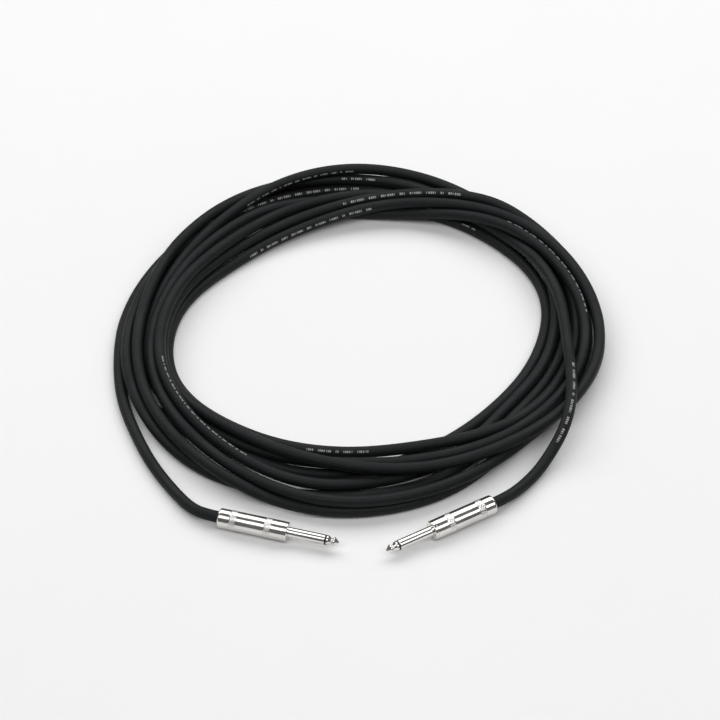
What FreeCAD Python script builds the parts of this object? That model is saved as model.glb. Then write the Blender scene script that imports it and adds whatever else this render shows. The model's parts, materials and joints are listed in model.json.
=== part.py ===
"""Instrument cable: a jacketed cable in a loose flat coil with a straight 6.35 mm phone plug on each end.

Millimetres, +Z up. The origin is on the floor, in the middle of the two plugs, in front of the coil.
Each plug is modelled along its own X axis, from the rear of its shell (x = 0) to its tip, and then placed.
"""

import FreeCAD, Part
import math
import os
import Sketcher

Vector = FreeCAD.Vector

# ---------------------------------------------------------------- driving dimensions

SIZES = {
    # radii of one plug
    "shell_r": 5.9,
    "shell_bore_r": 4.75,
    "thread_bore_r": 4.65,
    "cable_hole_r": 4.2,
    "knurl_floor_r": 5.75,
    "liner_outer_r": 4.55,
    "liner_inner_r": 4.35,
    "flange_r": 5.8,
    "thread_core_r": 4.4,
    "neck_r": 3.0,
    "shank_r": 3.175,
    "shank_end_r": 3.0,
    "sleeve_bore_r": 1.9,
    "core_tube_r": 1.85,
    "core_bore_r": 1.15,
    "rod_r": 1.1,
    "rivet_r": 1.6,
    "washer_r": 2.8,
    "tip_ring_r": 3.0,
    "tip_collar_r": 3.0,
    "tip_waist_r": 1.75,
    "tip_ball_r": 2.65,
    "tip_end_r": 0.55,
    # stations along a plug, from the rear of its shell
    "rear_wall_end": 3.0,
    "rear_band_start": 7.2,
    "rear_band_end": 11.6,
    "front_band_start": 28.4,
    "front_band_end": 32.8,
    "thread_bore_start": 33.9,
    "shell_front": 40.55,
    "liner_start": 3.4,
    "liner_end": 33.2,
    "rivet_start": 30.2,
    "lug_start": 30.8,
    "washer_start": 31.4,
    "neck_start": 32.2,
    "thread_start": 33.6,
    "flange_start": 40.6,
    "shank_start": 42.5,
    "shank_bevel": 64.5,
    "tip_ring_start": 64.8,
    "tip_start": 66.0,
    "tip_collar_end": 66.9,
    "tip_waist_start": 68.6,
    "tip_waist_end": 69.0,
    "tip_ball_start": 70.2,
    "tip_ball_end": 70.8,
    "tip_cone_end": 73.1,
    "tip_end": 73.5,
    # edge rounding
    "shell_rear_round": 1.3,
    "shell_front_round": 0.35,
    "flange_round": 0.6,
    "tip_round": 0.3,
    # sheet-metal terminals
    "metal_thick": 0.5,
    "lug_ring_r": 2.3,
    "lug_tongue_low": 1.7,
    "lug_tongue_high": 2.3,
    "lug_width": 2.4,
    "lug_tongue_start": 22.0,
    "lug_eye_x": 24.0,
    "lug_eye_r": 0.6,
    "ground_ring_start": 32.75,
    "ground_ring_thick": 0.8,
    "ground_ring_r": 4.15,
    "ground_ring_bore_r": 3.05,
    "arm_width": 2.4,
    "arm_depth": 3.55,
    "saddle_start": 6.5,
    "saddle_length": 4.5,
    "saddle_gap": 4.0,
    # conductors, bare ends and solder
    "conductor_r": 0.95,
    "strand_r": 0.5,
    "solder_length_r": 1.7,
    "solder_width_r": 1.1,
    "solder_height_r": 0.75,
    # cable and coil
    "cable_r": 3.5,
    "coil_height": 20.0,
    "coil_round": 5.0,
    "coil_x": 1.65,
    "coil_y": 163.8,
}

# The coil's outline from above: outer and inner radius at every 30 degrees, from +X turning towards +Y.
COIL_OUTER = (153, 150, 149, 155, 150, 146, 152, 154, 151, 154, 146, 145)
COIL_INNER = (111, 116, 113, 108, 99, 102, 114, 114, 107, 101, 104, 101)

# Each plug: the rear of its shell on the floor plan, and the bearing that its tip points to, in degrees.
PLUGS = {
    "left": (-81.1, 5.9, -15.9),
    "right": (79.9, 16.8, -149.5),
}

# Points of each free stretch of cable, from the cut end of the jacket inside the plug to the coil.
LEADS = {
    "left": (
        (-69.56, 2.61, 5.9),
        (-83.99, 6.72, 5.9),
        (-97.5, 13.6, 4.8),
        (-110.5, 28.0, 3.5),
        (-122.5, 50.5, 3.5),
        (-133.5, 75.0, 3.5),
        (-141.5, 102.0, 3.5),
        (-144.5, 129.0, 3.5),
    ),
    "right": (
        (69.56, 10.71, 5.9),
        (82.48, 18.32, 5.9),
        (94.8, 27.3, 4.8),
        (107.6, 43.6, 3.5),
        (118.0, 65.0, 5.0),
        (127.5, 89.0, 11.0),
        (128.5, 112.0, 12.0),
    ),
}

# Inside a plug: each conductor's insulation, then its bare end, in the plug's own frame.
CONDUCTORS = {
    "tip_wire": ((12.0, 0, 1.5), (13.6, 0, 1.5), (17.4, 0, 3.0), (20.5, 0, 3.0)),
    "sleeve_wire": ((12.0, 0, -1.5), (13.6, 0, -1.5), (17.0, 0, -2.5), (19.8, 0, -2.5)),
}
BARE_ENDS = {
    "tip_strands": ((20.5, 0, 3.0), (21.3, 0, 3.0), (22.8, 0, 2.82), (24.9, 0, 2.82)),
    "sleeve_strands": ((19.8, 0, -2.5), (20.6, 0, -2.5), (22.2, 0, -3.02), (24.6, 0, -3.02)),
}
SOLDER = {
    "tip_solder": (24.0, 0, 2.6),
    "sleeve_solder": (23.6, 0, -3.25),
}

ARC_SHARE = 0.45
VOLUME_TOLERANCE = 0.02
VOLUME_STEP = 0.1

doc = FreeCAD.newDocument("InstrumentCable")
sheet = doc.addObject("Spreadsheet::Sheet", "Sizes")


def fill_sheet():
    """One row for each size: its name and its value, which carries the name as alias."""
    sizes = dict(SIZES)
    for step, (outer, inner) in enumerate(zip(COIL_OUTER, COIL_INNER)):
        sizes[f"coil_outer_{step * 30}"] = outer
        sizes[f"coil_inner_{step * 30}"] = inner
    for row, (name, value) in enumerate(sizes.items(), start=1):
        sheet.set(f"A{row}", name)
        sheet.set(f"B{row}", str(value))
        sheet.setAlias(f"B{row}", name)
    doc.recompute()


def size(name):
    return float(sheet.get(name))


def new_body(label):
    body = doc.addObject("PartDesign::Body", label)
    body.Label = label
    return body


def new_sketch(body, name, plane, offset=None):
    """A sketch on one of the body's own origin planes, moved along its normal to a named station."""
    sketch = body.newObject("Sketcher::SketchObject", name)
    support = [f for f in body.Origin.OriginFeatures if f.Role == plane][0]
    sketch.AttachmentSupport = (support, [""])
    sketch.MapMode = "FlatFace"
    if offset:
        sketch.setExpression("AttachmentOffset.Base.z", f"Sizes.{offset}")
    return sketch


def bind(sketch, constraint, expression):
    """Add a named constraint whose value follows an expression on the sheet."""
    name, made = constraint
    index = sketch.addConstraint(made)
    sketch.renameConstraint(index, name)
    sketch.setExpression(f"Constraints.{name}", expression)


def polygon(sketch, corners):
    """A closed outline. Each corner names its two sizes; None puts the corner on that axis."""
    points = [Vector(size(a) if a else 0, size(b) if b else 0, 0) for a, b in corners]
    count = len(points)
    for i in range(count):
        sketch.addGeometry(Part.LineSegment(points[i], points[(i + 1) % count]), False)
    for i in range(count):
        sketch.addConstraint(Sketcher.Constraint("Coincident", i, 2, (i + 1) % count, 1))
    for i, (along, across) in enumerate(corners):
        if along:
            made = Sketcher.Constraint("DistanceX", -1, 1, i, 1, points[i].x)
            bind(sketch, (f"along{i}", made), f"Sizes.{along}")
        else:
            sketch.addConstraint(Sketcher.Constraint("PointOnObject", i, 1, -2))
        if across:
            made = Sketcher.Constraint("DistanceY", -1, 1, i, 1, points[i].y)
            bind(sketch, (f"across{i}", made), f"Sizes.{across}")
        else:
            sketch.addConstraint(Sketcher.Constraint("PointOnObject", i, 1, -1))


def circles(sketch, *radii):
    """Circles about the sketch's origin, one for each named radius."""
    for i, name in enumerate(radii):
        sketch.addGeometry(Part.Circle(Vector(0, 0, 0), Vector(0, 0, 1), size(name)), False)
        sketch.addConstraint(Sketcher.Constraint("Coincident", i, 3, -1, 1))
        bind(sketch, (f"radius{i}", Sketcher.Constraint("Radius", i, size(name))), f"Sizes.{name}")


def rectangle(sketch, width, low, high):
    """A rectangle centred on the sketch's vertical axis. Its sizes are expressions with their values."""
    half = width[1] / 2
    places = ((-half, low[1]), (half, low[1]), (half, high[1]), (-half, high[1]))
    corners = [Vector(across, up, 0) for across, up in places]
    for i in range(4):
        sketch.addGeometry(Part.LineSegment(corners[i], corners[(i + 1) % 4]), False)
    for i in range(4):
        sketch.addConstraint(Sketcher.Constraint("Coincident", i, 2, (i + 1) % 4, 1))
    sketch.addConstraint(Sketcher.Constraint("Horizontal", 2))
    for line in (1, 3):
        sketch.addConstraint(Sketcher.Constraint("Vertical", line))
    sketch.addConstraint(Sketcher.Constraint("Symmetric", 0, 1, 0, 2, -2))
    bind(sketch, ("width", Sketcher.Constraint("DistanceX", 0, 1, 0, 2, width[1])), width[0])
    bind(sketch, ("low", Sketcher.Constraint("DistanceY", -1, 1, 0, 1, low[1])), low[0])
    bind(sketch, ("high", Sketcher.Constraint("DistanceY", -1, 1, 2, 1, high[1])), high[0])


def turned(label, corners, rounds=()):
    """A piece turned about the plug's axis. Each round names a station, a radius and a rounding."""
    body = new_body(label)
    sketch = new_sketch(body, f"{label}_profile", "XY_Plane")
    polygon(sketch, corners)
    turn = body.newObject("PartDesign::Revolution", f"{label}_turn")
    turn.Profile = sketch
    turn.ReferenceAxis = (sketch, ["H_Axis"])
    turn.Angle = 360
    sketch.Visibility = False
    doc.recompute()
    base = turn
    for number, (along, radius, rounding) in enumerate(rounds):
        edges = ring_edges(base.Shape, size(along), size(radius))
        fillet = body.newObject("PartDesign::Fillet", f"{label}_round{number}")
        fillet.Base = (base, edges)
        fillet.setExpression("Radius", f"Sizes.{rounding}")
        doc.recompute()
        base = fillet
    return body


def ring_edges(shape, along, radius):
    """Names of the circular edges about the X axis at one station with one radius."""
    found = []
    for number, edge in enumerate(shape.Edges, start=1):
        curve = edge.Curve
        if isinstance(curve, Part.Circle) and abs(curve.Radius - radius) < 1e-4:
            if abs(curve.Center.x - along) < 1e-4:
                found.append(f"Edge{number}")
    return found


def pad(body, sketch, name, length):
    made = body.newObject("PartDesign::Pad", name)
    made.Profile = sketch
    made.setExpression("Length", length)
    sketch.Visibility = False
    doc.recompute()
    return made


def pocket(body, sketch, name, length):
    """A pocket along the sketch's normal, checked to take material away."""
    before = body.Shape.Volume
    cut = body.newObject("PartDesign::Pocket", name)
    cut.Profile = sketch
    cut.Reversed = True
    cut.setExpression("Length", length)
    sketch.Visibility = False
    doc.recompute()
    if not cut.Shape.Volume < before - VOLUME_STEP:
        raise RuntimeError(f"{name} cut nothing")


def tip_terminal(label):
    """The solder lug: a ring under the rod's rivet, with a tongue bent back along the plug."""
    body = new_body(label)
    ring = new_sketch(body, f"{label}_ring", "YZ_Plane", "lug_start")
    circles(ring, "lug_ring_r", "core_bore_r")
    pad(body, ring, f"{label}_ring_pad", "Sizes.washer_start - Sizes.lug_start")
    tongue = new_sketch(body, f"{label}_tongue", "YZ_Plane", "lug_tongue_start")
    width = ("Sizes.lug_width", size("lug_width"))
    low = ("Sizes.lug_tongue_low", size("lug_tongue_low"))
    high = ("Sizes.lug_tongue_high", size("lug_tongue_high"))
    rectangle(tongue, width, low, high)
    pad(body, tongue, f"{label}_tongue_pad", "Sizes.washer_start - Sizes.lug_tongue_start")
    eye = new_sketch(body, f"{label}_eye", "XY_Plane")
    eye.addGeometry(Part.Circle(Vector(size("lug_eye_x"), 0, 0), Vector(0, 0, 1), size("lug_eye_r")), False)
    eye.addConstraint(Sketcher.Constraint("PointOnObject", 0, 3, -1))
    place = Sketcher.Constraint("DistanceX", -1, 1, 0, 3, size("lug_eye_x"))
    bind(eye, ("place", place), "Sizes.lug_eye_x")
    bind(eye, ("radius", Sketcher.Constraint("Radius", 0, size("lug_eye_r"))), "Sizes.lug_eye_r")
    pocket(body, eye, f"{label}_eye_cut", "Sizes.shell_r")
    return body


def sleeve_terminal(label):
    """The sleeve's lug: a ring on the neck, a long arm, and the saddle bent round the jacket."""
    body = new_body(label)
    ring = new_sketch(body, f"{label}_ring", "YZ_Plane", "ground_ring_start")
    circles(ring, "ground_ring_r", "ground_ring_bore_r")
    pad(body, ring, f"{label}_ring_pad", "Sizes.ground_ring_thick")
    arm = new_sketch(body, f"{label}_arm", "YZ_Plane", "saddle_start")
    width = ("Sizes.arm_width", size("arm_width"))
    low = ("-Sizes.arm_depth - Sizes.metal_thick", -size("arm_depth") - size("metal_thick"))
    high = ("-Sizes.arm_depth", -size("arm_depth"))
    rectangle(arm, width, low, high)
    reach = "Sizes.ground_ring_start + Sizes.ground_ring_thick - Sizes.saddle_start"
    pad(body, arm, f"{label}_arm_pad", reach)
    saddle = new_sketch(body, f"{label}_saddle", "YZ_Plane", "saddle_start")
    for i, expression in enumerate(("Sizes.arm_depth + Sizes.metal_thick", "Sizes.arm_depth")):
        radius = size("arm_depth") + (size("metal_thick") if i == 0 else 0)
        saddle.addGeometry(Part.Circle(Vector(0, 0, 0), Vector(0, 0, 1), radius), False)
        saddle.addConstraint(Sketcher.Constraint("Coincident", i, 3, -1, 1))
        bind(saddle, (f"radius{i}", Sketcher.Constraint("Radius", i, radius)), expression)
    pad(body, saddle, f"{label}_saddle_pad", "Sizes.saddle_length")
    gap = new_sketch(body, f"{label}_gap", "YZ_Plane", "saddle_start")
    width = ("Sizes.saddle_gap", size("saddle_gap"))
    low = ("Sizes.conductor_r", size("conductor_r"))
    high = ("Sizes.shell_r", size("shell_r"))
    rectangle(gap, width, low, high)
    pocket(body, gap, f"{label}_gap_cut", "Sizes.saddle_length")
    return body


def rounded_path(label, points):
    """Straight runs joined by tangent arcs, each as large as its two runs allow."""
    spots = [Vector(*p) for p in points]
    edges = []
    start = spots[0]
    radii = []
    for before, corner, after in zip(spots, spots[1:], spots[2:]):
        back = (before - corner).normalize()
        ahead = (after - corner).normalize()
        cut = ARC_SHARE * min((before - corner).Length, (after - corner).Length)
        half_turn = (math.pi - back.getAngle(ahead)) / 2
        radius = cut / math.tan(half_turn)
        centre = corner + (back + ahead).normalize() * math.hypot(cut, radius)
        middle = centre + (corner - centre).normalize() * radius
        first, last = corner + back * cut, corner + ahead * cut
        edges.append(Part.LineSegment(start, first).toShape())
        edges.append(Part.Arc(first, middle, last).toShape())
        radii.append(round(radius, 1))
        start = last
    edges.append(Part.LineSegment(start, spots[-1]).toShape())
    print(label, "arc radii in mm:", radii)
    return Part.Wire(edges)


def tube(label, points, radius):
    """A round solid along a rounded path, with its volume compared with section times length."""
    path = rounded_path(label, points)
    start = Vector(*points[0])
    direction = Vector(*points[1]) - start
    section = Part.Wire(Part.makeCircle(radius, start, direction))
    solid = path.makePipeShell([section], True, True)
    ratio = solid.Volume / (math.pi * radius * radius * path.Length)
    print(label, f"length {path.Length:.1f} mm, volume over section times length {ratio:.4f}")
    if abs(ratio - 1) > VOLUME_TOLERANCE:
        raise RuntimeError(f"{label} has the wrong volume")
    return solid


def feature(label, shape):
    made = doc.addObject("Part::Feature", label)
    made.Label = label
    made.Shape = shape
    return made


def solder_joint(label, centre):
    """A low oval bead of solder over a bare end and its lug."""
    bead = doc.addObject("Part::Ellipsoid", label)
    bead.Label = label
    bead.setExpression("Radius1", "Sizes.solder_height_r")
    bead.setExpression("Radius2", "Sizes.solder_length_r")
    bead.setExpression("Radius3", "Sizes.solder_width_r")
    bead.Placement = FreeCAD.Placement(Vector(*centre), FreeCAD.Rotation())
    return bead


def coil_outline(kind):
    """A closed smooth curve through the coil's radii at every 30 degrees."""
    points = []
    for bearing in range(0, 360, 30):
        radius = size(f"coil_{kind}_{bearing}")
        angle = math.radians(bearing)
        points.append(Vector(radius * math.cos(angle), radius * math.sin(angle), 0))
    curve = Part.BSplineCurve()
    curve.interpolate(points, PeriodicFlag=True)
    return Part.Wire(curve.toShape())


def coil():
    """The outer shape of the coiled turns: a flat-bottomed ring with rounded edges."""
    face = Part.makeFace([coil_outline("outer"), coil_outline("inner")], "Part::FaceMakerBullseye")
    ring = face.extrude(Vector(0, 0, size("coil_height")))
    level = [e for e in ring.Edges if e.BoundBox.ZLength < 1e-6]
    made = feature("cable_coil", ring.makeFillet(size("coil_round"), level))
    made.Placement = FreeCAD.Placement(Vector(size("coil_x"), size("coil_y"), 0), FreeCAD.Rotation())
    return made


SHELL = (
    (None, "cable_hole_r"),
    (None, "shell_r"),
    ("rear_band_start", "shell_r"),
    ("rear_band_start", "knurl_floor_r"),
    ("rear_band_end", "knurl_floor_r"),
    ("rear_band_end", "shell_r"),
    ("front_band_start", "shell_r"),
    ("front_band_start", "knurl_floor_r"),
    ("front_band_end", "knurl_floor_r"),
    ("front_band_end", "shell_r"),
    ("shell_front", "shell_r"),
    ("shell_front", "thread_bore_r"),
    ("thread_bore_start", "thread_bore_r"),
    ("thread_bore_start", "shell_bore_r"),
    ("rear_wall_end", "shell_bore_r"),
    ("rear_wall_end", "cable_hole_r"),
)
SLEEVE = (
    ("neck_start", "sleeve_bore_r"),
    ("neck_start", "neck_r"),
    ("thread_start", "neck_r"),
    ("thread_start", "thread_core_r"),
    ("flange_start", "thread_core_r"),
    ("flange_start", "flange_r"),
    ("shank_start", "flange_r"),
    ("shank_start", "shank_r"),
    ("shank_bevel", "shank_r"),
    ("tip_ring_start", "shank_end_r"),
    ("tip_ring_start", "sleeve_bore_r"),
)
TIP = (
    ("rivet_start", None),
    ("rivet_start", "rivet_r"),
    ("lug_start", "rivet_r"),
    ("lug_start", "rod_r"),
    ("tip_start", "rod_r"),
    ("tip_start", "tip_collar_r"),
    ("tip_collar_end", "tip_collar_r"),
    ("tip_waist_start", "tip_waist_r"),
    ("tip_waist_end", "tip_waist_r"),
    ("tip_ball_start", "tip_ball_r"),
    ("tip_ball_end", "tip_ball_r"),
    ("tip_cone_end", "tip_end_r"),
    ("tip_end", None),
)


# Plain tubes: where each starts and ends along the plug, then its inner and outer radius.
TUBES = {
    "tip_ring": ("tip_ring_start", "tip_start", "core_bore_r", "tip_ring_r"),
    "core_tube": ("neck_start", "tip_ring_start", "core_bore_r", "core_tube_r"),
    "rear_washer": ("washer_start", "neck_start", "core_bore_r", "washer_r"),
    "liner": ("liner_start", "liner_end", "liner_inner_r", "liner_outer_r"),
}


def tube_profile(start, end, inner, outer):
    """The corners of a tube's section."""
    return ((start, inner), (start, outer), (end, outer), (end, inner))


def plug(side):
    """Every piece of one plug, in the plug's own frame."""
    front_round = (("shell_front", "shell_r", "shell_front_round"),)
    shell = turned(f"{side}_shell", SHELL, front_round)
    round_rear(shell, f"{side}_shell_rear_round")
    pieces = [
        shell,
        turned(f"{side}_sleeve", SLEEVE, (("shank_start", "flange_r", "flange_round"),)),
        turned(f"{side}_tip", TIP, (("tip_ball_start", "tip_ball_r", "tip_round"),)),
        tip_terminal(f"{side}_tip_terminal"),
        sleeve_terminal(f"{side}_sleeve_terminal"),
    ]
    for name, limits in TUBES.items():
        pieces.append(turned(f"{side}_{name}", tube_profile(*limits)))
    for name, points in CONDUCTORS.items():
        label = f"{side}_{name}"
        pieces.append(feature(label, tube(label, points, size("conductor_r"))))
    for name, points in BARE_ENDS.items():
        label = f"{side}_{name}"
        pieces.append(feature(label, tube(label, points, size("strand_r"))))
    for name, centre in SOLDER.items():
        pieces.append(solder_joint(f"{side}_{name}", centre))
    return pieces


def round_rear(body, name):
    """Round the outer rear edge of the shell, at station zero."""
    base = body.Tip
    edges = ring_edges(base.Shape, 0, size("shell_r"))
    fillet = body.newObject("PartDesign::Fillet", name)
    fillet.Base = (base, edges)
    fillet.setExpression("Radius", "Sizes.shell_rear_round")
    doc.recompute()


def lay(pieces, side):
    """Move a plug's pieces from the plug's own frame to where the plug lies on the floor."""
    across, along, bearing = PLUGS[side]
    turn = FreeCAD.Rotation(Vector(0, 0, 1), bearing)
    place = FreeCAD.Placement(Vector(across, along, size("shell_r")), turn)
    for piece in pieces:
        piece.Placement = place.multiply(piece.Placement)


def check(pieces):
    for item in doc.Objects:
        if "Invalid" in item.State or "Error" in item.State:
            raise RuntimeError(f"{item.Name} failed: {item.State}")
    for piece in pieces:
        shape = piece.Shape
        if shape.isNull() or not shape.isValid() or len(shape.Solids) != 1:
            raise RuntimeError(f"{piece.Label} isn't one valid solid")


def main():
    fill_sheet()
    pieces = []
    for side in PLUGS:
        made = plug(side)
        lay(made, side)
        pieces += made
    pieces.append(coil())
    for side, points in LEADS.items():
        label = f"cable_lead_{side}"
        pieces.append(feature(label, tube(label, points, size("cable_r"))))
    doc.recompute()
    check(pieces)
    os.makedirs("parts", exist_ok=True)
    for piece in pieces:
        piece.Shape.exportStep(f"parts/{piece.Label}.step")
    print(len(pieces), "pieces written")


main()
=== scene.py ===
"""The instrument cable: its cord, the fine detail on its two plugs, its materials, light and camera."""
import json
import math

import bpy
from mathutils import Matrix, Vector


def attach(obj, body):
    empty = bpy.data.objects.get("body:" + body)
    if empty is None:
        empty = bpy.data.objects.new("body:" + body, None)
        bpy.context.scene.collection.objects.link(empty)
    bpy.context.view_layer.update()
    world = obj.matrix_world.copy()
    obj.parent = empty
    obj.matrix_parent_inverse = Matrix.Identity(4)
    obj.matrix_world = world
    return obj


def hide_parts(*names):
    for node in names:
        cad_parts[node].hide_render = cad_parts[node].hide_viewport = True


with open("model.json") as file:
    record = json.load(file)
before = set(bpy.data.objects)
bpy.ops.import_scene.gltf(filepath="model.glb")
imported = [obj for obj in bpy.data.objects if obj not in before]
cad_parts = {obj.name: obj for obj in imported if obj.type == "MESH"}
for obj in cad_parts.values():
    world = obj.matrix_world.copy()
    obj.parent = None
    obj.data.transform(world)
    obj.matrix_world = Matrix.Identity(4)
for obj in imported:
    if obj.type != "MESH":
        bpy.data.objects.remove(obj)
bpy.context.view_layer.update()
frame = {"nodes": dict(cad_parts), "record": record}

SIDES = ("left", "right")
CABLE = 0.007

# ---------------------------------------------------------------- camera

VIEW_TARGET = Vector((0.00155, 0.1449, 0.0))
VIEW_DISTANCE = 1.824
VIEW_ELEVATION = math.radians(44)
LENS = 146.7


def add_camera():
    """A long lens looking along +Y and down at the cable."""
    data = bpy.data.cameras.new("camera")
    data.lens = LENS
    camera = bpy.data.objects.new("camera", data)
    away = Vector((0, -math.cos(VIEW_ELEVATION), math.sin(VIEW_ELEVATION)))
    camera.location = VIEW_TARGET + VIEW_DISTANCE * away
    camera.rotation_euler = (math.pi / 2 - VIEW_ELEVATION, 0, 0)
    bpy.context.collection.objects.link(camera)
    bpy.context.scene.camera = camera


# ---------------------------------------------------------------- the cord's line

# The free stretch behind each plug, from the jacket's cut end inside the plug to the coil.
LEFT_LEAD = (
    (-0.06956, 0.00261, 0.0059), (-0.0866, 0.0075, 0.0059), (-0.0974, 0.0137, 0.0048), (-0.1091, 0.0293, 0.0035),
    (-0.1225, 0.0505, 0.0035), (-0.1335, 0.075, 0.0035), (-0.143, 0.102, 0.0035), (-0.1475, 0.129, 0.0035),
)
RIGHT_LEAD = (
    (0.06956, 0.01071, 0.0059), (0.08248, 0.01832, 0.0059), (0.0944, 0.028, 0.0048), (0.107, 0.0436, 0.0042),
    (0.1165, 0.0575, 0.0085), (0.1247, 0.071, 0.0158),
)

COIL_CENTRE = (0.00165, 0.1638)
FIRST_BEARING = 200
JOIN_BEARING = 186
LAST_TURN_SWEEP = 230
STEPS = 36

# How the turns settle: the height of one place in the pile and the furthest a turn may drift sideways, both in mm,
# the share of its drift that a turn keeps from step to step, and how often turns are parted in each step.
LAYER = 2.2
DRIFT = 1.2
DRIFT_KEPT = 0.97
PARTINGS = 6

# How turns part: their line is softened as the spline softens it. Where the upper turn's rise is less than the least
# share of the distance between them, this share of the push goes sideways.
LINE_SOFTENING = 0.25
LEAST_RISE = 0.15
SIDEWAYS_SHARE = 0.866

# Each loose turn, the first one first: its radius in mm every 30 degrees clockwise from the first bearing, and its
# place in the pile every 60 degrees, 1 for the floor.
TURNS = (
    ((155, 147, 143, 150, 148, 147, 144, 141, 131, 146, 153, 149), (1, 1, 1, 1, 2, 3)),
    ((143, 137, 140, 146, 140, 135, 133, 125, 118, 133, 140, 151), (5, 5, 3, 1.5, 1, 1)),
    ((148, 142, 138, 140, 140, 141, 139, 133, 125, 111, 107, 112), (3, 2, 2, 2, 3.5, 4)),
    ((123, 118, 105, 104.5, 116, 133, 144, 150, 142, 132, 122, 118), (2, 4, 5, 6.5, 7, 7)),
    ((125, 118, 109, 111, 123, 140, 146, 149, 136, 145, 152, 141), (3, 5, 7, 2, 3, 5)),
    ((134, 126, 124, 128, 124, 124, 124, 111.5, 104.5, 109, 122, 129), (6, 6, 3, 1, 1, 2)),
    ((146, 137, 133, 121, 114, 126, 138, 141, 133, 123, 120, 122), (1, 1, 4.5, 5, 5, 4)),
    ((135, 132, 133, 143, 146, 139, 129, 118.5, 111, 124, 138, 132), (2, 4.5, 5, 3, 2, 4.5)),
    ((128, 119, 112, 119, 128, 128, 128, 130, 154), (7, 7, 4, 4.5, 9, 9)),
)


def along(row, at):
    """The value of a list at a place between its items, on a smooth line through them."""
    first = min(int(at), len(row) - 2)
    t = at - first
    a, b, c, d = (row[max(0, min(len(row) - 1, first + step))] for step in (-1, 0, 1, 2))
    return b + t * (c - a + t * (2 * a - 5 * b + 4 * c - d + t * (3 * (b - c) + d - a))) / 2


def soften(values, share):
    """Each value moved a share of the way to the middle of its neighbours."""
    inner = [b + share * ((a + c) / 2 - b) for a, b, c in zip(values, values[1:], values[2:])]
    return [values[0], *inner, values[-1]]


def part_turns(radius, height, level, pairs, lean, thick):
    """Moves turns that cut into each other apart, the higher level upwards, at their points or halfway between."""
    line, top = soften(radius, LINE_SOFTENING), soften(height, LINE_SOFTENING)
    for a, b, step in pairs:
        out = (line[b] + line[b + step] - line[a] - line[a + step]) / 2 * (lean[a] + lean[b]) / 2
        rise = (top[b] + top[b + step] - top[a] - top[a + step]) / 2
        gap = max(math.hypot(out, rise), 1e-6)
        if gap >= thick:
            continue
        upward = 1 if level[b] > level[a] else -1
        side = out / gap
        if rise * upward < LEAST_RISE * gap:
            side = math.copysign(SIDEWAYS_SHARE, side)
        shift = (thick - gap) / 4 * side
        lift = max(0, math.sqrt(thick ** 2 - out ** 2) - rise * upward) / 4 * upward
        for values, move in ((radius, shift), (line, shift), (height, lift), (top, lift)):
            for i in (0, step):
                values[a + i] -= move * (1 + step) / 2
                values[b + i] += move * (1 + step) / 2


def settle(target, level, sinking=160, resting=40, easing=15):
    """Lets the stiff turns sink until they lie on the floor and on each other. Lengths are in mm."""
    thick, count = CABLE * 1000, len(target)
    radius = list(target)
    height = [thick / 2 + (value - 1) * LAYER for value in level]
    pairs = []
    for step in (0, 1):
        for a in range(count):
            pairs += [(a, b, step) for b in range(a + STEPS, count - step, STEPS)]
    stages = [(0.25, 0.5)] * sinking + [(0.1, 0.5)] * resting + [(0, 0.25)] * easing
    for sink, bend in stages:
        height = soften([value - sink for value in height], bend)
        offset = soften([r - t for r, t in zip(radius, target)], bend)
        radius = [t + max(-DRIFT, min(DRIFT, DRIFT_KEPT * o)) for t, o in zip(target, offset)]
        slope = [(c - a) * STEPS / (4 * math.pi * b) for a, b, c in zip(radius, radius[1:], radius[2:])]
        lean = [1, *(1 / math.hypot(1, value) for value in slope), 1]
        for _ in range(PARTINGS):
            part_turns(radius, height, level, pairs, lean, thick)
            height = [max(thick / 2, value) for value in height]
    return radius, height


def coil_points():
    """The coil's turns as points of the cord's spline, in metres, each with its turn number and bearing."""
    radii = [value for row, _ in TURNS for value in row]
    levels = [value for _, row in TURNS for value in row]
    count = round((len(TURNS) - 1 + LAST_TURN_SWEEP / 360) * STEPS) + 1
    target, level = [], []
    for i in range(count):
        target.append(along(radii, i * 12 / STEPS))
        whole, part = divmod(i * 6 / STEPS, 1)
        low, high = levels[int(whole)], levels[int(whole) + 1]
        level.append(low + (high - low) * part * part * (3 - 2 * part) + 0.01 * (i // STEPS))
    radius, height = settle(target, level)
    points = []
    for i in range(count):
        bearing = FIRST_BEARING - 360 * i / STEPS
        if bearing <= JOIN_BEARING:
            x = COIL_CENTRE[0] + radius[i] / 1000 * math.cos(math.radians(bearing))
            y = COIL_CENTRE[1] + radius[i] / 1000 * math.sin(math.radians(bearing))
            points.append((x, y, height[i] / 1000))
    return points


def add_cord():
    """The whole cable as one bevelled spline, and the points that its line passes through."""
    route = [*LEFT_LEAD, *coil_points(), *reversed(RIGHT_LEAD)]
    data = bpy.data.curves.new("cord", "CURVE")
    data.dimensions = "3D"
    data.twist_mode = "MINIMUM"
    spline = data.splines.new("NURBS")
    spline.points.add(len(route) - 1)
    for point, place in zip(spline.points, route):
        point.co = (*place, 1)
    spline.order_u = 3
    spline.use_endpoint_u = True
    spline.resolution_u = 6
    cord = bpy.data.objects.new("cord", data)
    bpy.context.collection.objects.link(cord)
    line = bpy.data.meshes.new_from_object(cord)
    path = [vertex.co.copy() for vertex in line.vertices]
    bpy.data.meshes.remove(line)
    data.bevel_depth = CABLE / 2
    data.bevel_resolution = 6
    data.use_fill_caps = True
    spline.use_smooth = True
    return cord, path


# ---------------------------------------------------------------- materials

def new_material(name, colour, roughness, metallic=0.0):
    """A node material and its main shader, with the constants that every material sets."""
    material = bpy.data.materials.new(name)
    material.use_nodes = True
    shader = material.node_tree.nodes["Principled BSDF"]
    shader.inputs["Base Color"].default_value = (*colour, 1)
    shader.inputs["Roughness"].default_value = roughness
    shader.inputs["Metallic"].default_value = metallic
    return material, shader


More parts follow.
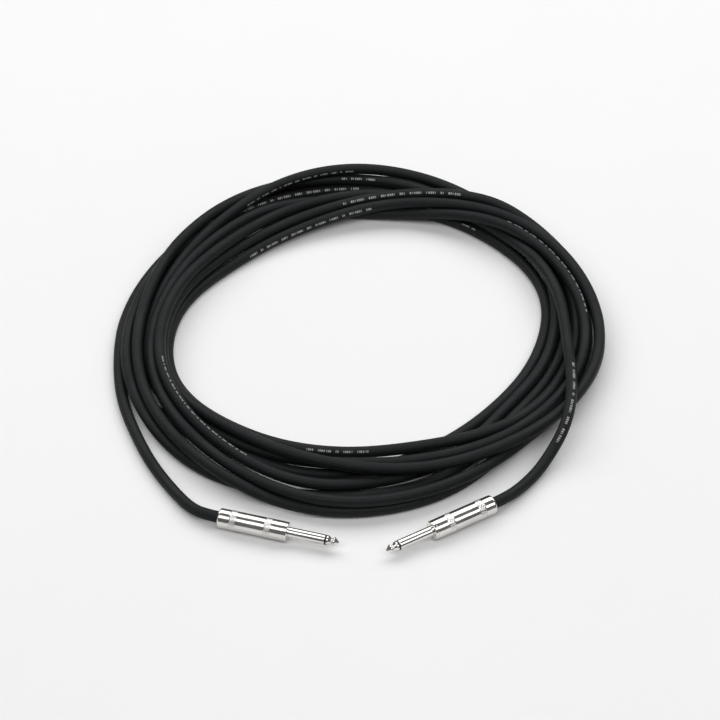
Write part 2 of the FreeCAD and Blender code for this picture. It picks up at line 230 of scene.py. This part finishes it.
def place_nodes(material, turn=0.0, scale=(1, 1, 1)):
    """Object coordinates turned about Z and then stretched."""
    tree = material.node_tree
    place = tree.nodes.new("ShaderNodeTexCoord")
    turned = tree.nodes.new("ShaderNodeMapping")
    turned.inputs["Rotation"].default_value = (0, 0, turn)
    stretched = tree.nodes.new("ShaderNodeMapping")
    stretched.inputs["Scale"].default_value = scale
    tree.links.new(place.outputs["Object"], turned.inputs["Vector"])
    tree.links.new(turned.outputs["Vector"], stretched.inputs["Vector"])
    return stretched.outputs["Vector"]


def noise(material, place, scale, detail=2.0, roughness=0.5):
    """Noise over a place, from 0 to 1."""
    node = material.node_tree.nodes.new("ShaderNodeTexNoise")
    node.inputs["Scale"].default_value = scale
    node.inputs["Detail"].default_value = detail
    node.inputs["Roughness"].default_value = roughness
    material.node_tree.links.new(place, node.inputs["Vector"])
    return node.outputs["Fac"]


def ramp(material, source, stops):
    """A source turned into colours or grey values by its stops, each a place and a colour or a number."""
    node = material.node_tree.nodes.new("ShaderNodeValToRGB")
    elements = node.color_ramp.elements
    while len(elements) < len(stops):
        elements.new(0.5)
    for element, (at, value) in zip(elements, stops):
        element.position = at
        element.color = (*value, 1) if isinstance(value, tuple) else (value, value, value, 1)
    material.node_tree.links.new(source, node.inputs["Fac"])
    return node.outputs["Color"]


def bump(material, shader, source, strength, depth, under=None):
    """Relief of the given depth in metres from a source, over another bump if one is given."""
    node = material.node_tree.nodes.new("ShaderNodeBump")
    node.inputs["Strength"].default_value = strength
    node.inputs["Distance"].default_value = depth
    material.node_tree.links.new(source, node.inputs["Height"])
    if under is not None:
        material.node_tree.links.new(under, node.inputs["Normal"])
    material.node_tree.links.new(node.outputs["Normal"], shader.inputs["Normal"])
    return node.outputs["Normal"]


def jacket_material():
    """Matte black extruded jacket: fine pebble, faint drawn waviness, and greyer where it has been handled."""
    material, shader = new_material("jacket", (0.03, 0.033, 0.034), 0.6)
    link = material.node_tree.links.new
    place = place_nodes(material)
    tone = noise(material, place, 900, 3, 0.7)
    blacks = ((0.3, (0.004, 0.005, 0.0055)), (0.55, (0.007, 0.0085, 0.0092)), (0.8, (0.018, 0.02, 0.021)))
    link(ramp(material, tone, blacks), shader.inputs["Base Color"])
    shader.inputs["Specular IOR Level"].default_value = 0.22
    rub = noise(material, place, 26, 4, 0.6)
    link(ramp(material, rub, ((0.3, 0.5), (0.7, 0.68))), shader.inputs["Roughness"])
    grain = bump(material, shader, noise(material, place, 1800, 2, 0.6), 0.5, 0.00012)
    bump(material, shader, noise(material, place, 160, 2, 0.5), 0.35, 0.0004, grain)
    return material


def nickel_material(side, bearing):
    """Bright nickel plate on turned brass: lathe lines round the axis, hairline scratches and slight haze."""
    material, shader = new_material("nickel_" + side, (0.8, 0.79, 0.76), 0.1, 1.0)
    link = material.node_tree.links.new
    turned = place_nodes(material, -bearing, (1, 0.03, 0.03))
    plain = place_nodes(material)
    haze = noise(material, plain, 120, 3, 0.6)
    link(ramp(material, haze, ((0.35, 0.1), (0.7, 0.2))), shader.inputs["Roughness"])
    patches = noise(material, plain, 60, 2, 0.5)
    link(ramp(material, patches, ((0.3, (0.66, 0.645, 0.62)), (0.7, (0.8, 0.785, 0.76)))), shader.inputs["Base Color"])
    lathe = bump(material, shader, noise(material, turned, 4200, 1, 0.4), 0.12, 0.00003)
    bump(material, shader, noise(material, plain, 420, 3, 0.6), 0.06, 0.00008, lathe)
    return material


def mottled_material(name, dark, light, size, roughness, depth, metallic=0.0, clear=0.0):
    """A material that varies between two colours, patch by patch, with relief. Size is the patches per metre."""
    material, shader = new_material(name, light, roughness, metallic)
    link = material.node_tree.links.new
    place = place_nodes(material)
    patches = noise(material, place, size, 4, 0.65)
    link(ramp(material, patches, ((0.3, dark), (0.7, light))), shader.inputs["Base Color"])
    sheen = ((0.3, roughness * 0.8), (0.7, min(1.0, roughness * 1.25)))
    link(ramp(material, patches, sheen), shader.inputs["Roughness"])
    shader.inputs["Transmission Weight"].default_value = clear
    bump(material, shader, noise(material, place, size * 2.5, 3, 0.6), 0.4, depth)
    return material


# The plain finishes: dark and light colour, patches per metre, roughness, depth of relief in metres, metallic, clear.
FINISHES = {
    "insulator": ((0.012, 0.012, 0.013), (0.022, 0.022, 0.024), 500, 0.32, 0.00003),
    "fibre": ((0.3, 0.09, 0.04), (0.5, 0.18, 0.09), 900, 0.75, 0.0001),
    "liner": ((0.74, 0.74, 0.69), (0.84, 0.84, 0.8), 200, 0.4, 0.00003, 0.0, 0.25),
    "tinned_brass": ((0.58, 0.56, 0.5), (0.76, 0.74, 0.68), 700, 0.34, 0.00004, 1.0),
    "wire_red": ((0.45, 0.015, 0.015), (0.6, 0.035, 0.03), 400, 0.42, 0.00004),
    "wire_black": ((0.014, 0.014, 0.015), (0.028, 0.028, 0.03), 400, 0.42, 0.00004),
    "copper": ((0.62, 0.25, 0.13), (0.88, 0.45, 0.28), 1500, 0.3, 0.00008, 1.0),
    "solder": ((0.55, 0.55, 0.54), (0.78, 0.78, 0.77), 600, 0.24, 0.00006, 1.0),
    "ink": ((0.16, 0.16, 0.17), (0.5, 0.5, 0.5), 1300, 0.6, 0.00002),
    "floor": ((0.86, 0.86, 0.86), (0.88, 0.88, 0.88), 3, 0.9, 0.00002),
}


def make_materials():
    """Every material by its name."""
    made = {"jacket": jacket_material()}
    for name, finish in FINISHES.items():
        made[name] = mottled_material(name, *finish)
    for side in SIDES:
        made["nickel_" + side] = nickel_material(side, plug_bearing(side))
    return made


CAD_FINISHES = {
    "shell": "nickel", "sleeve": "nickel", "tip": "nickel", "tip_ring": "insulator", "core_tube": "insulator",
    "rear_washer": "fibre", "liner": "liner", "tip_terminal": "tinned_brass", "sleeve_terminal": "tinned_brass",
    "tip_wire": "wire_red", "sleeve_wire": "wire_black", "tip_strands": "copper", "sleeve_strands": "copper",
    "tip_solder": "solder", "sleeve_solder": "solder",
}


def dress_cad_parts(made):
    """Gives each plug part of the frame its material."""
    for side in SIDES:
        for part, finish in CAD_FINISHES.items():
            name = f"nickel_{side}" if finish == "nickel" else finish
            for slot in frame["nodes"][f"{side}_{part}"].material_slots:
                slot.material = made[name]


# ---------------------------------------------------------------- plug detail

SHELL_ANCHOR = 0.02
KNURL_BANDS = ((0.0072, 0.0116), (0.0284, 0.0328))
KNURL_FLOOR = 0.0057
KNURL_VALLEY = 0.00572
KNURL_PEAK = 0.00598
KNURLS_AROUND = 26
KNURL_STEPS, KNURL_ROWS = 8, 20
KNURL_EDGE = 6
THREAD_FROM, THREAD_TO, THREAD_PITCH = 0.0338, 0.0404, 0.0008
THREAD_ROOT, THREAD_CREST = 0.00435, 0.0046
THREAD_STEPS, THREAD_RUNOUT = 40, 14


def shell_turn(side):
    """The record's hinge between a plug's shell and its liner."""
    return next(joint for joint in frame["record"]["behaviour"]["joints"] if joint["name"] == side + "_shell_turn")


def plug_bearing(side):
    """The direction of a plug's tip in the floor plane, as an angle from X."""
    axis = shell_turn(side)["axis"]
    return math.atan2(-axis[1], -axis[0])


def plug_place(side):
    """Puts a piece drawn along X from the middle of a plug's rear face into its place."""
    joint = shell_turn(side)
    rear = Vector(joint["pos_m"]) + SHELL_ANCHOR * Vector(joint["axis"])
    return Matrix.Translation(rear) @ Matrix.Rotation(plug_bearing(side), 4, "Z")


def add_mesh(name, points, faces, material, place=None, smooth=True):
    """A mesh object from points and faces."""
    mesh = bpy.data.meshes.new(name)
    mesh.from_pydata([place @ Vector(point) if place else point for point in points], [], faces)
    mesh.validate()
    mesh.materials.append(material)
    mesh.polygons.foreach_set("use_smooth", [smooth] * len(mesh.polygons))
    mesh.update()
    piece = bpy.data.objects.new(name, mesh)
    bpy.context.collection.objects.link(piece)
    return piece


def wrapped_faces(rings, size, offset=0):
    """Quads between closed rings of points, the last ring joined to the first."""
    faces = []
    for ring in range(rings):
        for step in range(size):
            a = offset + ring * size + step
            b = offset + ring * size + (step + 1) % size
            c = offset + (ring + 1) % rings * size + (step + 1) % size
            d = offset + (ring + 1) % rings * size + step
            faces.append((a, b, c, d))
    return faces


def knurl_points(start, end):
    """The rings of one knurled band: pointed diamonds between crossed grooves, sloping off at both edges."""
    around, across = KNURLS_AROUND * KNURL_STEPS, KNURL_ROWS
    points = []
    for row in range(across + 1):
        x = start + (end - start) * row / across
        edge = min(1.0, KNURL_EDGE * row / across, KNURL_EDGE * (across - row) / across)
        for step in range(around):
            turn = KNURLS_AROUND * step / around
            lean = (x - start) * KNURLS_AROUND / (2 * math.pi * KNURL_PEAK)
            rise = min(2 * abs((turn + lean) % 1 - 0.5), 2 * abs((turn - lean) % 1 - 0.5))
            height = KNURL_VALLEY + (KNURL_PEAK - KNURL_VALLEY) * edge * min(1.0, 1.9 * (1 - rise) - 0.15)
            angle = 2 * math.pi * step / around
            points.append((x, height * math.cos(angle), height * math.sin(angle)))
    for x in (end, start):
        for step in range(around):
            angle = 2 * math.pi * step / around
            points.append((x, KNURL_FLOOR * math.cos(angle), KNURL_FLOOR * math.sin(angle)))
    return points, across + 3, around


def add_knurls(side, material):
    """Both knurled bands of a shell, as one closed piece."""
    points, faces = [], []
    for start, end in KNURL_BANDS:
        band, rings, around = knurl_points(start, end)
        faces += wrapped_faces(rings, around, len(points))
        points += band
    piece = add_mesh(side + "_knurls", points, faces, material, plug_place(side))
    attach(piece, side + "_shell_body")


def add_thread(side, material):
    """The ridge of the screw thread that the shell runs on."""
    turns = (THREAD_TO - THREAD_FROM - THREAD_PITCH) / THREAD_PITCH
    points, faces = [], []
    total = int(turns * THREAD_STEPS) + 1
    for step in range(total):
        angle = 2 * math.pi * step / THREAD_STEPS
        middle = THREAD_FROM + THREAD_PITCH * (0.5 + step / THREAD_STEPS)
        grow = min(1.0, step / THREAD_RUNOUT, (total - 1 - step) / THREAD_RUNOUT)
        crest = THREAD_ROOT + (THREAD_CREST - THREAD_ROOT) * max(grow, 0.05)
        for x, r in ((-0.38, THREAD_ROOT), (-0.06, crest), (0.06, crest), (0.38, THREAD_ROOT)):
            points.append((middle + x * THREAD_PITCH, r * math.cos(angle), r * math.sin(angle)))
    for step in range(total - 1):
        for corner in range(4):
            a, b = step * 4 + corner, step * 4 + (corner + 1) % 4
            faces.append((a, b, b + 4, a + 4))
    last = (total - 1) * 4
    faces += [(3, 2, 1, 0), (last, last + 1, last + 2, last + 3)]
    piece = add_mesh(side + "_thread", points, faces, material, plug_place(side), smooth=False)
    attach(piece, "root")


# ---------------------------------------------------------------- print on the jacket

INK_LIFT = 0.00006
WORDS = (7, 3, 6, 5, 2, 7, 4)
WIDTHS = (0.6, 0.3, 0.55, 0.7)

# Where the print shows: the turn, its first and last bearing in degrees, how far round from straight up towards
# the coil's middle it sits in degrees, and the height of its blocks in metres.
PRINT_RUNS = (
    (6, 43, 4, -28, 0.001), (4, 96, 62, 42, 0.0015), (3, 136, 88, 66, 0.0014), (2, 124, 91, 40, 0.0015),
    (7, 124, 93, 78, 0.001), (1, 96, 86, 42, 0.0014), (7, -120, -163, 14, 0.0008), (2, -87, -107, -40, 0.0013),
    (8, -17, -40, -22, 0.0015), (5, 58, 52, 30, 0.0009),
)


def swept_bearings(path):
    """The bearing of each point of the path about the coil's middle, running on through every turn."""
    bearings, last = [], None
    for point in path:
        bearing = math.degrees(math.atan2(point.y - COIL_CENTRE[1], point.x - COIL_CENTRE[0]))
        if last is None:
            bearing += 360 if bearing < 0 else 0
        else:
            bearing += 360 * round((last - bearing) / 360)
        bearings.append(bearing)
        last = bearing
    return bearings


def jacket_point(path, index, ahead, across, roll, lift):
    """A point on the jacket: ahead of a path point along it, across round it, both in metres."""
    here, beyond = path[index], path[index + 1]
    forward = (beyond - here).normalized()
    middle = Vector((*COIL_CENTRE, here.z))
    inward = (middle - here) - (middle - here).dot(forward) * forward
    inward.normalize()
    upward = inward.cross(forward)
    upward *= -1 if upward.z < 0 else 1
    radius = CABLE / 2 + lift
    angle = math.radians(roll) + across / radius
    return here + ahead * forward + radius * (math.cos(angle) * upward + math.sin(angle) * inward)


def add_block(path, index, ahead, width, height, roll, points, faces):
    """One printed block: a thin closed patch bent to the jacket."""
    first = len(points)
    columns = (-0.5, 0.0, 0.5)
    for lift in (INK_LIFT, -INK_LIFT):
        for along_it in (0.0, width):
            for column in columns:
                points.append(jacket_point(path, index, ahead + along_it, column * height, roll, lift))
    quads = ((0, 1, 4, 3), (1, 2, 5, 4), (7, 6, 9, 10), (8, 7, 10, 11), (0, 3, 9, 6), (5, 2, 8, 11),
             (1, 0, 6, 7), (2, 1, 7, 8), (3, 4, 10, 9), (4, 5, 11, 10))
    faces += [tuple(first + corner for corner in quad) for quad in quads]


def print_run(path, bearings, run, points, faces):
    """One stretch of print: words of plain blocks with no letters in them."""
    turn, start, end, roll, height = run
    index = next(i for i, bearing in enumerate(bearings) if bearing <= start - 360 * turn)
    step, space = height * 0.95, height * 1.6
    ahead, word, left = 0.0, 0, WORDS[turn % len(WORDS)]
    while bearings[index] > end - 360 * turn:
        span = (path[index + 1] - path[index]).length
        if ahead > span:
            ahead -= span
            index += 1
            continue
        width = height * WIDTHS[left % len(WIDTHS)]
        add_block(path, index, ahead, width, height, roll, points, faces)
        ahead += step
        left -= 1
        if left == 0:
            word += 1
            left = WORDS[(turn + word) % len(WORDS)]
            ahead += space


def add_print(path, material):
    """The worn white print on the jacket, where it faces up."""
    bearings = swept_bearings(path)
    points, faces = [], []
    for run in PRINT_RUNS:
        print_run(path, bearings, run, points, faces)
    piece = add_mesh("jacket_print", points, faces, material, smooth=False)
    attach(piece, "root")


# ---------------------------------------------------------------- light and floor

def add_light(name, place, aim, size, power):
    """A soft rectangular light that looks at a point."""
    data = bpy.data.lights.new(name, "AREA")
    data.shape = "RECTANGLE"
    data.size, data.size_y = size
    data.energy = power
    light = bpy.data.objects.new(name, data)
    light.location = place
    light.rotation_euler = (Vector(aim) - Vector(place)).to_track_quat("-Z", "Y").to_euler()
    bpy.context.collection.objects.link(light)


def add_studio(material):
    """A pale floor, an even grey surround and soft lights."""
    size = 6.0
    floor = add_mesh("floor", [(-size, -size, 0), (size, -size, 0), (size, size, 0), (-size, size, 0)],
                     [(0, 1, 2, 3)], material, smooth=False)
    world = bpy.data.worlds.new("studio")
    world.use_nodes = True
    world.node_tree.nodes["Background"].inputs["Color"].default_value = (1, 1, 1, 1)
    world.node_tree.nodes["Background"].inputs["Strength"].default_value = 0.14
    bpy.context.scene.world = world
    add_light("back_high", (0, 1.5, 1.7), (0, 0.14, 0), (5.0, 1.5), 58)
    add_light("front_high", (0, -0.95, 2.1), (0, 0.14, 0), (5.0, 1.1), 40)
    bpy.context.scene.view_settings.view_transform = "Standard"


# ---------------------------------------------------------------- assembly

add_camera()
cord, path = add_cord()
made = make_materials()
cord.data.materials.append(made["jacket"])
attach(cord, "root")
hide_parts("cable_coil", "cable_lead_left", "cable_lead_right")
length = sum((b - a).length for a, b in zip(path, path[1:]))
print("cord length", round(length, 4), "highest", round(max(point.z for point in path) + CABLE / 2, 4))
dress_cad_parts(made)
for side in SIDES:
    add_knurls(side, made["nickel_" + side])
    add_thread(side, made["nickel_" + side])
add_print(path, made["ink"])
add_studio(made["floor"])
